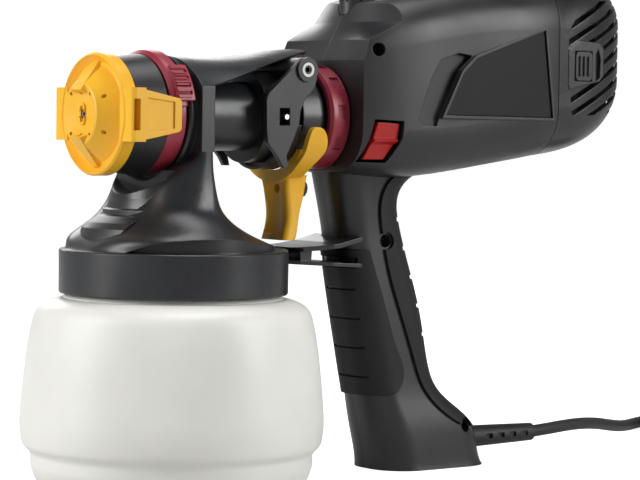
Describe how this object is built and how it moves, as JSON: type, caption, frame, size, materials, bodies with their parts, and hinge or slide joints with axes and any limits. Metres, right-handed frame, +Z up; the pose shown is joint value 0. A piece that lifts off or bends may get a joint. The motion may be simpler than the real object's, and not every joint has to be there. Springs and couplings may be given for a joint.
{
  "type": "paint sprayer",
  "caption": "Hand-held turbine paint sprayer: cup, lidded spray head with air cap, trigger and needle, lock ring, motor housing with handle, filter cover, and mains cord",
  "frame": {"origin": "centre of the cup's base, on the plane that the sprayer stands on", "axes": "+X to the rear (the spray leaves along -X), +Y to the user's right side, +Z up"},
  "size_m": [0.539, 0.1544, 0.2578],
  "materials": {
    "black_plastic": "fine moulded texture, satin",
    "head_plastic": "smooth satin moulding",
    "grip_rubber": "soft overmould with grooves",
    "cup_plastic": "white translucent moulding",
    "yellow_plastic": "satin moulded",
    "burgundy_plastic": "satin moulded",
    "red_plastic": "glossy moulded",
    "white_plastic": "smooth acetal",
    "seal_rubber": "smooth rubber",
    "foam": "open-cell foam",
    "steel": "turned and polished",
    "aluminium": "machined",
    "motor_paint": "painted sheet",
    "brass": "bright turned",
    "board_green": "glass-fibre board with parts",
    "cord_rubber": "dull jacket"
  },
  "bodies": {
    "housing": {"housing_left": "black_plastic", "housing_right": "black_plastic", "panel_left": "black_plastic", "panel_right": "black_plastic", "grip_pad_front": "grip_rubber", "grip_pad_rear": "grip_rubber", "finger_guard": "head_plastic", "housing_screws": "steel", "strain_relief": "cord_rubber", "cord": "cord_rubber", "cord_coil": "cord_rubber", "plug_body": "cord_rubber", "plug_blades": "brass", "motor_can": "motor_paint", "bearings": "steel", "turbine_shroud": "aluminium", "shroud_gasket": "seal_rubber", "air_duct": "black_plastic", "switch_body": "black_plastic", "control_board": "board_green", "filter_foam": "foam"},
    "front_end": {"front_body": "head_plastic", "lid_gasket": "seal_rubber", "pickup_tube": "white_plastic", "fluid_nozzle": "steel", "nozzle_union": "black_plastic", "needle_packing": "white_plastic", "packing_nut": "brass", "pivot_pin": "steel"},
    "lock_ring": {"lock_ring": "burgundy_plastic"},
    "cup": {"cup": "cup_plastic"},
    "air_cap": {"air_cap": "yellow_plastic"},
    "width_ring": {"width_ring": "burgundy_plastic"},
    "trigger": {"trigger_yoke": "black_plastic", "trigger_grip": "yellow_plastic", "pivot_bushes": "white_plastic"},
    "needle": {"needle": "steel", "cross_pin": "steel", "needle_spring": "steel"},
    "flow_knob": {"flow_knob": "black_plastic"},
    "power_rocker": {"power_rocker": "red_plastic"},
    "air_dial": {"air_dial": "black_plastic"},
    "filter_cover": {"filter_cover": "black_plastic"},
    "latch_left": {"latch_left": "black_plastic"},
    "latch_right": {"latch_right": "black_plastic"},
    "rotor": {"rotor": "steel", "impeller_front": "aluminium", "impeller_rear": "aluminium"}
  },
  "joints": [
    {"name": "head_release", "type": "slide", "parent": "housing", "child": "front_end", "axis": [-1, 0, 0], "range_m": [0, 0.026]},
    {"name": "lock_turn", "type": "hinge", "parent": "housing", "child": "lock_ring", "pos_m": [0.082, 0, 0.1825], "axis": [1, 0, 0], "range_deg": [0, 45]},
    {"name": "cup_turn", "type": "hinge", "parent": "front_end", "child": "cup", "pos_m": [0, 0, 0.1], "axis": [0, 0, 1], "range_deg": [0, 60]},
    {"name": "cap_turn", "type": "hinge", "parent": "front_end", "child": "air_cap", "pos_m": [-0.044, 0, 0.1825], "axis": [1, 0, 0], "range_deg": [0, 90]},
    {"name": "width_turn", "type": "hinge", "parent": "front_end", "child": "width_ring", "pos_m": [-0.017, 0, 0.1825], "axis": [-1, 0, 0], "range_deg": [0, 30]},
    {"name": "trigger_pull", "type": "hinge", "parent": "front_end", "child": "trigger", "pos_m": [0.0595, 0, 0.206], "axis": [0, -1, 0], "range_deg": [0, 6.5], "stiffness_Nm_per_rad": 4, "springref_deg": -6.88},
    {"name": "needle_slide", "type": "slide", "parent": "front_end", "child": "needle", "axis": [1, 0, 0], "range_m": [0, 0.0027]},
    {"name": "flow_turn", "type": "hinge", "parent": "trigger", "child": "flow_knob", "pos_m": [0.075, 0, 0.1464], "axis": [1, 0, 0], "range_deg": [0, 720]},
    {"name": "power_rock", "type": "hinge", "parent": "housing", "child": "power_rocker", "pos_m": [0.099, -0.0324, 0.171], "axis": [1, 0, 0], "range_deg": [0, 8]},
    {"name": "air_turn", "type": "hinge", "parent": "housing", "child": "air_dial", "pos_m": [0.11, 0, 0.245], "axis": [0, 0, 1], "range_deg": [0, 270]},
    {"name": "cover_release", "type": "slide", "parent": "housing", "child": "filter_cover", "axis": [1, 0, 0], "range_m": [0, 0.03]},
    {"name": "latch_left_press", "type": "slide", "parent": "filter_cover", "child": "latch_left", "axis": [0, 1, 0], "range_m": [0, 0.0016], "stiffness_N_per_m": 800, "springref_m": -0.002},
    {"name": "latch_right_press", "type": "slide", "parent": "filter_cover", "child": "latch_right", "axis": [0, -1, 0], "range_m": [0, 0.0016], "stiffness_N_per_m": 800, "springref_m": -0.002},
    {"name": "rotor_spin", "type": "hinge", "parent": "housing", "child": "rotor", "pos_m": [0.16, 0, 0.208], "axis": [1, 0, 0], "continuous": true}
  ],
  "couplings": [
    {"joint": "needle_slide", "follows": "trigger_pull", "m_per_rad": 0.0235}
  ]
}
